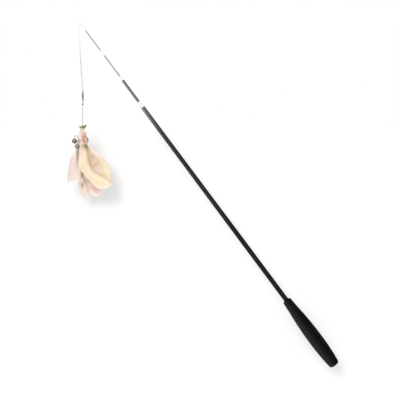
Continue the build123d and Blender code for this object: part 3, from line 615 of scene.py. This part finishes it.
def clothPetal(name, petal):
    fan, phase, half = math.radians(petal["fan"]), petal["phase"], petal["halfWidth"]
    along = np.array((math.sin(fan), 0, -math.cos(fan)))
    across = np.array((math.cos(fan), 0, math.sin(fan)))
    rows, columns = petalCut["rows"], petalCut["columns"]
    reach = petalCut["root"] + petal["length"]
    root = np.array(budFoot) / mm - along * petalCut["root"]
    u = np.linspace(-1, 1, columns)[None, :]  # from the left edge to the right

    def widths(s):  # the middle and half the width, at a share s of the length
        left = through(petalCut["stations"], petal["left"], s) * half
        right = through(petalCut["stations"], petal["right"], s) * half
        return (right - left) / 2, (right + left) / 2

    def wave(kind, at, down):
        w = petalWaves[kind]
        return w["depth"] * np.sin(fullTurn * w["count"] * at + w["shift"] * phase) * ease(*w["over"], down)

    hemPlaces, hemValues = zip(*petal["hem"])
    end = np.ones_like(u)
    for i in range(petalCut["hemTries"]):  # where each column meets the hem
        middle, spread = widths(end)
        hemShare = through(hemPlaces, hemValues, (middle + spread * u) / half)
        end = np.clip((petalCut["root"] + petal["length"] * hemShare) / reach, 0, 1)
    s = np.linspace(0, 1, rows)[:, None] * end
    down = s / end
    middle, spread = widths(s)
    x = middle + spread * u
    opened = through(petalCut["stations"], petalCut["opened"], s)
    lie = petal["neckLie"] + (petal["hemLie"] - petal["neckLie"]) * s
    drift = u + petalCut["drift"] * np.sin(fullTurn * petalCut["driftWaves"] * s + phase) * (1 - u * u)
    swell = petal["cup"] * (1 - u * u) - petal["fold"] * np.cos(fullTurn * petalCut["foldWaves"] * drift)
    twist = petalCut["twist"] * np.sin(petalCut["twistRate"] * s + phase)
    rippling = np.sin(fullTurn * petal["waves"] * u + phase + twist)
    ruffle = petal["ruffle"] * ease(*petalCut["ruffled"], down) * rippling
    wrap = np.where(u < 0, *petal["wrap"]) * u * u * s * s  # edges come round the lure
    y = (lie + opened * swell - petalCut["thickness"] / 2 + wave("pleats", u, s) + wave("flutes", drift, s)
         + opened * ruffle + wave("crimp", u, down) + wrap)
    d = reach * s + wave("fray", u, down)
    points = (root + along * d[..., None] + across * x[..., None] + np.array(toViewer) * y[..., None]) * mm
    points = points.reshape(-1, 3)
    mesh = gridMesh(name, points, rows, columns)
    colours = dyedAndShaded(points, petal["base"], petal["blots"])
    fromHem = (reach * (end - s)).reshape(-1)
    pale = (petalCut["hemPale"] * (1 - ease(0, petalCut["hemDepth"], fromHem)))[:, None]
    colours = colours * (1 - pale) + np.array(linear(petalCut["hem"])) * pale
    paint(mesh, clothTone * colours ** thinDye)
    layer = mesh.uv_layers.new(name="cut")
    flat = np.stack([x.reshape(-1), (reach * s).reshape(-1)], axis=1) * mm
    corner = np.empty(len(mesh.loops), dtype=np.int32)
    mesh.loops.foreach_get("vertex_index", corner)
    layer.data.foreach_set("uv", flat[corner].astype(np.float32).ravel())
    area = sum(f.area for f in mesh.polygons)
    piece = thicken(newObject(name, mesh, sheerSilk), petalCut["cloth"], "cloth_" + name)
    size = (float(np.ptp(flat[:, 0])), float(np.ptp(flat[:, 1])))
    return piece, size, area


petalPieces = {name: clothPetal(name, petal) for name, petal in petals.items()}
for name, (piece, size, area) in petalPieces.items():
    print(f"{name}: {size[0] / mm:.0f} x {size[1] / mm:.0f} mm")


def roundLure(radius, theta, z):  # rings of points round the lure's axis, given in mm
    x, y = budFoot.x / mm + radius * np.cos(theta), budFoot.y / mm + radius * np.sin(theta)
    return np.stack(np.broadcast_arrays(x, y, z), axis=2).reshape(-1, 3) * mm


def ringGrid(rows, columns):  # share of the height by row, angle from the right by column
    theta = np.linspace(0, fullTurn, columns, endpoint=False)
    return np.linspace(0, 1, rows)[:, None], theta[None, :]


# bud: a bound bundle of silk, three leaves wrapped round it with their edges showing
boundTone = 0.88  # layers shade each other a little
budShape = dict(top=5.0, belly=7.6, foot=7.2, bellyShare=0.45, height=16.4, inset=0.35, rows=70, columns=220,
                leaves=3, leafStart=0.13, step=0.55, edge=0.06, twist=0.34, gathers=13, gather=0.16, slant=4,
                crowding=3, footGather=0.5, gatherRise=0.9, base="#f3d9ce")
# the dark brown down the bud's right edge is painted shade
budBlots = ((2.0, -8, 8.5, 3.6, 78, "#cd8669", 1.0), (2.4, -3.4, 4, 2.6, 80, "#b26c50", 0.9),
            (2.2, -15.5, 2.5, 1.6, 0, "#b5805f", 0.7), (3, -11.5, 1.4, 1.0, 30, "#94543f", 0.7),
            (8.2, -7, 8, 1.7, 76, "#5f4b3a", 0.95), (6.0, -4.7, 5, 1.2, 70, "#f0c8ad", 0.7),
            (-6.5, -12, 6, 4, 60, "#f6e4e1", 0.9), (-2.5, -6, 5, 2.2, 80, "#f5dcd2", 0.8),
            (-1.5, -1, 4.5, 2.2, -15, "#f9e2c6", 0.9), (-4.6, -5.4, 4.2, 1.9, 10, "#ac999c", 0.75))
budPuffs = (dict(turn=185, at=0.8, wide=38, tall=0.19, out=3.0),  # loose cloth: degrees round from the right
            dict(turn=-12, at=0.36, wide=26, tall=0.28, out=1.9),
            dict(turn=95, at=0.5, wide=40, tall=0.3, out=0.8))
rows, columns = budShape["rows"], budShape["columns"]
t, theta = ringGrid(rows, columns)
radius = through((0, budShape["bellyShare"], 1), (budShape["foot"], budShape["belly"], budShape["top"]), t)
leaf = (theta / fullTurn * budShape["leaves"] + budShape["twist"] * t + budShape["leafStart"]) % 1.0
lap = budShape["step"] * (ease(0, budShape["edge"], leaf) * (1 - leaf) - 0.5)  # half in and half out
crowded = np.sin(budShape["crowding"] * theta)
gathers = budShape["gather"] * np.sin(budShape["gathers"] * theta + budShape["slant"] * t + crowded)
gathers = gathers * (budShape["footGather"] + budShape["gatherRise"] * t)
radius = radius - budShape["inset"] + lap + gathers
for puff in budPuffs:
    off = (np.degrees(theta) - puff["turn"] + 180) % 360 - 180
    bulge = np.exp(-(off / puff["wide"]) ** 2 - ((t - puff["at"]) / puff["tall"]) ** 2)
    radius = radius + puff["out"] * bulge
crown = budFoot + up * budShape["height"] * mm
points = np.concatenate([roundLure(radius, theta, budFoot.z / mm + budShape["height"] * t), [budFoot, crown]])
mesh = gridMesh("bud", points, rows, columns, closed=True, capped=True)
paint(mesh, boundTone * dyedAndShaded(points, budShape["base"], budBlots))
mesh.shade_smooth()
bud = newObject("silkBud", mesh, boundSilk)

# neck collar: cream silk gathered under the knot, flaring down over the bud's shoulder
collarShape = dict(stations=(0, 0.25, 0.5, 1), radii=(4.2, 5.5, 4.5, 2.9), over=2.4, under=1.2, rows=48,
                   columns=240, pleats=13, depth=0.4, footDepth=1.2, depthLost=0.75, crowding=1.2, slant=2,
                   ripples=5, ripple=0.12, rippleSlant=6, hemWaves=5, hem=0.6, hemShare=0.4, cloth=0.28,
                   base="#eadfca")
collarBlots = ((-2.8, -20.5, 4, 2.2, 80, "#d6c8b0", 0.8), (1.2, -19, 4, 1.2, 80, "#cbb99c", 0.7),
               (3.2, -20.5, 3, 1.6, 80, "#f7efe0", 0.8), (-4, -17, 3.5, 1.6, 0, "#f0dcd6", 0.85),
               (3, -16.8, 2.5, 1.1, 0, "#cfa588", 0.7))
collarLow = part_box("neck_collar")[0][2] / mm - collarShape["over"]
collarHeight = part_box("neck_collar")[1][2] / mm + collarShape["under"] - collarLow
rows, columns = collarShape["rows"], collarShape["columns"]
t, theta = ringGrid(rows, columns)
uneven = np.sin(2 * theta)  # pleats crowd on two sides
pleatDepth = collarShape["depth"] * (collarShape["footDepth"] - collarShape["depthLost"] * t)
pleats = np.sin(collarShape["pleats"] * theta + collarShape["crowding"] * uneven + collarShape["slant"] * t)
ripple = collarShape["ripple"] * np.sin(collarShape["ripples"] * theta + collarShape["rippleSlant"] * t)
radius = through(collarShape["stations"], collarShape["radii"], t) + pleatDepth * pleats + ripple
hemFade = 1 - ease(0, collarShape["hemShare"], t)
hem = collarShape["hem"] * np.sin(collarShape["hemWaves"] * theta + uneven) * hemFade
points = roundLure(radius, theta, collarLow + collarHeight * t + hem)
mesh = gridMesh("collar", points, rows, columns, closed=True)
paint(mesh, boundTone * dyedAndShaded(points, collarShape["base"], collarBlots))
collar = thicken(newObject("collar", mesh, boundSilk), collarShape["cloth"], "silkCollar")

# olive cotton scrap: dull, creased, darker to the right
oliveLook = dict(light="#8b8c5e", dark="#4c5138", pale="#b3ae82", lightTo=-2.5, darkFrom=3.5,
                 crease=1.5, creased=0.5, thread=0.35, roughness=0.85, sheen=0.2)
oliveCotton, tree, place = newMaterial("oliveCotton")
spot = addNode(tree, "ShaderNodeSeparateXYZ", {0: place["Object"]})
across = addNode(tree, "ShaderNodeMapRange", {
    "Value": spot.outputs["X"], "From Min": budFoot.x + oliveLook["lightTo"] * mm,
    "From Max": budFoot.x + oliveLook["darkFrom"] * mm})
crease = addNode(tree, "ShaderNodeTexNoise", {
    "Vector": place["Object"], "Scale": 1 / (oliveLook["crease"] * mm), "Detail": 4.0})
shade = addNode(tree, "ShaderNodeMix", {
    0: across, 6: linear(oliveLook["light"]), 7: linear(oliveLook["dark"])}, data_type="RGBA")
tone = addNode(tree, "ShaderNodeMapRange", {
    "Value": crease, "From Min": 0.5, "From Max": 0.75, "To Max": oliveLook["creased"]})
colour = addNode(tree, "ShaderNodeMix", {0: tone, 6: shade, 7: linear(oliveLook["pale"])}, data_type="RGBA")
thread = addNode(tree, "ShaderNodeTexNoise", {
    "Vector": place["Object"], "Scale": 1 / (oliveLook["thread"] * mm)})
bump = addNode(tree, "ShaderNodeBump", {"Height": thread, "Strength": 0.4, "Distance": 0.08 * mm})
knotCloth = addNode(tree, "ShaderNodeBsdfPrincipled", {
    "Base Color": colour, "Roughness": oliveLook["roughness"], "Sheen Weight": oliveLook["sheen"],
    "Normal": bump})
addNode(tree, "ShaderNodeOutputMaterial", {"Surface": knotCloth})

# neck knot: a ball of wound cloth with two loose ends that stand out, fused and softened
knotShape = dict(radius=3.6, flat=0.85, rows=60, columns=96, poleGap=0.02, turns=5, tilt=0.35, tiltFrom=0.6,
                 cross=0.5, groove=0.3, grooveLevel=0.4, voxel=0.13, soften=0.5, softenings=3)
earCut = dict(rings=26, perRing=28, fold=0.3, notch=0.25, notchFrom=0.8)
ears = (dict(angle=46, out=1.9, length=5.2, root=1.7, tip=1.0, thin=0.7, curl=0.4),
        dict(angle=-78, out=0.0, length=5.8, root=1.9, tip=0.8, thin=0.6, curl=0.3))
shape = bmesh.new()


def addTube(rings):  # closed tube through rings of points, capped at both ends
    verts = [[shape.verts.new(tuple(p * mm)) for p in ring] for ring in rings]
    for low, high in zip(verts, verts[1:]):
        for c in range(len(low)):
            n = (c + 1) % len(low)
            shape.faces.new((low[c], low[n], high[n], high[c]))
    shape.faces.new(list(reversed(verts[0])))
    shape.faces.new(verts[-1])


t, theta = ringGrid(knotShape["rows"], knotShape["columns"])
pole = math.pi / 2 - knotShape["poleGap"]
lat = pole * (2 * t - 1)
winding = knotShape["turns"] * (lat + knotShape["tilt"] * np.sin(theta + knotShape["tiltFrom"])) / 2
band = np.abs(np.sin(winding + knotShape["cross"] * np.cos(theta)))
radius = knotShape["radius"] + knotShape["groove"] * (band - knotShape["grooveLevel"])
ball = np.stack([radius * np.cos(lat) * np.cos(theta), radius * np.cos(lat) * np.sin(theta),
                 knotShape["flat"] * radius * np.sin(lat)], axis=2)
centre = np.array(lureTop) / mm
addTube(centre + ball)
for ear in ears:
    a = math.radians(ear["angle"])
    way = np.array((math.sin(a), 0, math.cos(a)))
    flank = np.array((math.cos(a), 0, -math.sin(a)))
    rings = []
    for s in np.linspace(0, 1, earCut["rings"]):
        wide = ear["root"] + (ear["tip"] - ear["root"]) * s
        thin = ear["root"] + (ear["thin"] - ear["root"]) * s
        middle = centre + way * ear["length"] * s + np.array((ear["out"], 0, ear["curl"] * s * s))
        ring = []
        for b in np.linspace(0, fullTurn, earCut["perRing"], endpoint=False):
            depth = thin * math.sin(b) + earCut["fold"] * s * math.cos(2 * b)
            notch = earCut["notch"] * ease(earCut["notchFrom"], 1, s) * math.cos(b) ** 2
            ring.append(middle + flank * wide * math.cos(b) + np.array((0, depth, 0)) - way * notch)
        rings.append(ring)
    addTube(rings)
bmesh.ops.recalc_face_normals(shape, faces=shape.faces)
mesh = bpy.data.meshes.new("knot")
shape.to_mesh(mesh)
shape.free()
knot = newObject("knot", mesh, oliveCotton)
fuse = knot.modifiers.new("fuse", "REMESH")
fuse.mode = "VOXEL"
fuse.voxel_size = knotShape["voxel"] * mm
soften = knot.modifiers.new("soften", "SMOOTH")
soften.factor = knotShape["soften"]
soften.iterations = knotShape["softenings"]
knot = asMesh(knot, "oliveKnot")
print("bud, collar and knot made")


# stage: pale floor and a low pale wall close behind, clear from the back; the lure swings back over its top
stage = dict(wallY=0.05, floorZ=-0.115, left=-1.6, right=1.3, near=-2.4, height=0.304, wallTone=0.8,
             floorTone=0.95, mottle=0.4, uneven=0.01)


def matte(name, brightness):  # matt white paint with a faint roller mottle
    coating, tree, place = newMaterial(name)
    faint = addNode(tree, "ShaderNodeTexNoise", {"Vector": place["Object"], "Scale": 1 / stage["mottle"]})
    tone = addNode(tree, "ShaderNodeMapRange", {
        "Value": faint, "To Min": brightness - stage["uneven"], "To Max": brightness + stage["uneven"]})
    flat = addNode(tree, "ShaderNodeBsdfDiffuse", {"Color": tone})
    facing = addNode(tree, "ShaderNodeNewGeometry")
    gone = addNode(tree, "ShaderNodeBsdfTransparent")
    oneSided = addNode(tree, "ShaderNodeMixShader", {0: facing.outputs["Backfacing"], 1: flat, 2: gone})
    addNode(tree, "ShaderNodeOutputMaterial", {"Surface": oneSided})
    return coating


def panel(name, corners, material):
    mesh = bpy.data.meshes.new(name)
    mesh.from_pydata(corners, [], [(0, 1, 2, 3)])
    return newObject(name, mesh, material)


left, right, near, back = stage["left"], stage["right"], stage["near"], stage["wallY"]
low, high = stage["floorZ"], stage["height"]
wall = panel("wall", [(left, back, low), (right, back, low), (right, back, high), (left, back, high)],
             matte("wallPaint", stage["wallTone"]))
floor = panel("floor", [(left, near, low), (right, near, low), (right, back, low), (left, back, low)],
              matte("floorPaint", stage["floorTone"]))

lamps = dict(keyWay=(-0.24, -0.9, 0.34), keyStrength=1.15, keyAngle=24, world=1.0)
key = newObject("key", bpy.data.lights.new("key", "SUN"))
key.data.energy = lamps["keyStrength"]
key.data.angle = math.radians(lamps["keyAngle"])
key.rotation_euler = Vector(lamps["keyWay"]).to_track_quat("Z", "Y").to_euler()
world = bpy.data.worlds.new("studio")
world.use_nodes = True
sky = world.node_tree.nodes["Background"]
sky.inputs["Color"].default_value = (1, 1, 1, 1)
sky.inputs["Strength"].default_value = lamps["world"]
scene.world = world
print("stage and lights set")


# what rides on what, the CAD node that it stands for, and its finish in the record
stands = [(upperCord, "line", "upper_cord", "cord_cream"),
          (lowerCord, "leader", "lower_cord", "cord_cream"),
          (tipLoop, "cord_loop", "tip_loop", "cord_cream"),
          (upperTie, "line", "swivel_tie_upper", "cord_cream"),
          (lowerTie, "leader", "swivel_tie_lower", "cord_cream"),
          (tail, "lure", "tail", "tail_brown"),
          (bud, "lure", "bud", "bud_coral"),
          (collar, "lure", "neck_collar", "collar_cream"),
          (knot, "lure", "neck_knot", "knot_olive")]
stands += [(petalPieces[name][0], "lure", name, petals[name]["slot"]) for name in petals]
for piece, body, node, slot in stands:
    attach(piece, body)
    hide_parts(node)
